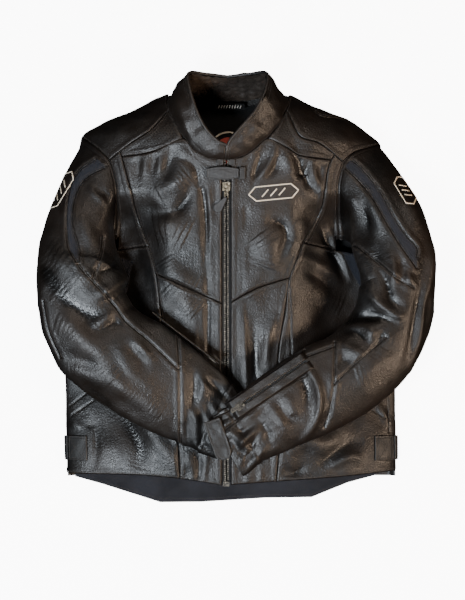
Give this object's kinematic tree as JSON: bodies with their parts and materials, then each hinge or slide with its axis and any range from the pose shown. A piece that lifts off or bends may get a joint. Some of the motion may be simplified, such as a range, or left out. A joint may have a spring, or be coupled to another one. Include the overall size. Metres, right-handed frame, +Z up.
{
  "type": "riding jacket",
  "caption": "Zipped leather riding jacket lying flat with both sleeves folded across the front, stand collar, neck tab and longer back tail.",
  "frame": {"origin": "middle of the footprint, on the surface that the jacket lies on", "axes": "+X is the wearer's left, +Y runs from hem to collar, +Z is up, away from the surface"},
  "size_m": [0.5786, 0.6308, 0.1268],
  "materials": {
    "black_leather": "satin, fine grain",
    "trim_leather": "satin, fine grain",
    "woven_cloth": "matte weave",
    "stretch_cloth": "matte weave",
    "zip_metal": "antique, worn",
    "soft_rubber": "satin",
    "badge_print": "matte embroidery",
    "label_print": "matte weave",
    "foam_armour": "matte foam"
  },
  "bodies": {
    "torso": {"front_chest_right": "black_leather", "front_chest_left": "black_leather", "front_lower_right": "black_leather", "front_lower_left": "black_leather", "side_panel_right": "black_leather", "side_panel_left": "black_leather", "armhole_strip_right": "black_leather", "armhole_strip_left": "black_leather", "perforated_panel_right": "black_leather", "perforated_panel_left": "black_leather", "shoulder_yoke_right": "black_leather", "shoulder_yoke_left": "black_leather", "back_yoke": "black_leather", "back_centre": "black_leather", "back_sides": "black_leather", "drop_tail": "stretch_cloth", "back_lining": "woven_cloth", "back_protector": "foam_armour", "collar_outer": "black_leather", "collar_lining": "woven_cloth", "collar_binding": "black_leather", "sleeve_outer_right": "black_leather", "sleeve_inner_right": "black_leather", "sleeve_under_right": "black_leather", "sleeve_outer_left": "black_leather", "sleeve_inner_left": "black_leather", "sleeve_under_left": "black_leather", "zip_tape_right": "woven_cloth", "zip_teeth_right": "zip_metal", "zip_tape_left": "woven_cloth", "zip_teeth_left": "zip_metal", "zip_stops": "zip_metal", "neck_tab_anchor": "black_leather", "waist_anchors": "black_leather", "shoulder_armour": "foam_armour", "neck_label": "woven_cloth", "round_label": "label_print", "chest_badge": "badge_print", "sleeve_badges": "badge_print"},
    "forearm_right": {"elbow_panel_right": "black_leather", "forearm_top_right": "black_leather", "forearm_under_right": "black_leather", "cuff_band_right": "trim_leather", "cuff_zip_right": "zip_metal"},
    "forearm_left": {"elbow_panel_left": "black_leather", "forearm_top_left": "black_leather", "forearm_under_left": "black_leather", "cuff_band_left": "trim_leather", "cuff_zip_left": "zip_metal"},
    "main_slider": {"main_zip_slider": "zip_metal"},
    "main_pull": {"main_zip_pull": "zip_metal"},
    "fob": {"main_zip_fob": "soft_rubber"},
    "neck_flap": {"neck_tab": "soft_rubber"},
    "waist_right": {"waist_strap_right": "trim_leather"},
    "waist_left": {"waist_strap_left": "trim_leather"},
    "cuff_slider_right_body": {"cuff_slider_right": "zip_metal"},
    "cuff_pull_right_body": {"cuff_pull_right": "zip_metal"},
    "cuff_slider_left_body": {"cuff_slider_left": "zip_metal"},
    "cuff_pull_left_body": {"cuff_pull_left": "zip_metal"},
    "cuff_flap_left": {"cuff_strap_left": "trim_leather"}
  },
  "joints": [
    {"name": "elbow_right", "type": "hinge", "parent": "torso", "child": "forearm_right", "pos_m": [-0.214, -0.038, 0.08], "axis": [0, 0, -1], "range_deg": [0, 42]},
    {"name": "elbow_left", "type": "hinge", "parent": "torso", "child": "forearm_left", "pos_m": [0.222, -0.045, 0.08], "axis": [0, 0, 1], "range_deg": [0, 42]},
    {"name": "main_zip", "type": "slide", "parent": "torso", "child": "main_slider", "axis": [0, -0.9936, -0.1132], "range_m": [0, 0.395]},
    {"name": "main_pull_hinge", "type": "hinge", "parent": "main_slider", "child": "main_pull", "pos_m": [-0.014, 0.14616, 0.09001], "axis": [-1, 0, 0], "range_deg": [0, 110]},
    {"name": "fob_swing", "type": "hinge", "parent": "main_pull", "child": "fob", "pos_m": [-0.014, 0.13075, 0.08916], "axis": [0, -0.1132, 0.9936], "range_deg": [0, 60]},
    {"name": "neck_tab_hinge", "type": "hinge", "parent": "torso", "child": "neck_flap", "pos_m": [0.004, 0.16473, 0.09859], "axis": [0, 0.9936, 0.1132], "range_deg": [0, 140]},
    {"name": "waist_strap_hinge_right", "type": "hinge", "parent": "torso", "child": "waist_right", "pos_m": [-0.24767, -0.234, 0.0156], "axis": [0, -1, 0], "range_deg": [0, 110]},
    {"name": "waist_strap_hinge_left", "type": "hinge", "parent": "torso", "child": "waist_left", "pos_m": [0.23358, -0.234, 0.01564], "axis": [0, 1, 0], "range_deg": [0, 110]},
    {"name": "cuff_zip_slide_right", "type": "slide", "parent": "forearm_right", "child": "cuff_slider_right_body", "axis": [-0.7944, 0.6073, 0], "range_m": [0, 0.084]},
    {"name": "cuff_pull_hinge_right", "type": "hinge", "parent": "cuff_slider_right_body", "child": "cuff_pull_right_body", "pos_m": [-0.03037, -0.09826, 0.08349], "axis": [0, 0, 1], "range_deg": [0, 150]},
    {"name": "cuff_zip_slide_left", "type": "slide", "parent": "forearm_left", "child": "cuff_slider_left_body", "axis": [0.8261, 0.5635, -0.0041], "range_m": [0, 0.084]},
    {"name": "cuff_pull_hinge_left", "type": "hinge", "parent": "cuff_slider_left_body", "child": "cuff_pull_left_body", "pos_m": [0.00545, -0.16637, 0.12461], "axis": [-0.5587, 0.818, -0.1366], "range_deg": [0, 150]},
    {"name": "cuff_strap_hinge_left", "type": "hinge", "parent": "forearm_left", "child": "cuff_flap_left", "pos_m": [-0.03457, -0.18705, 0.12206], "axis": [-0.9455, -0.3256, 0], "range_deg": [0, 120]}
  ]
}
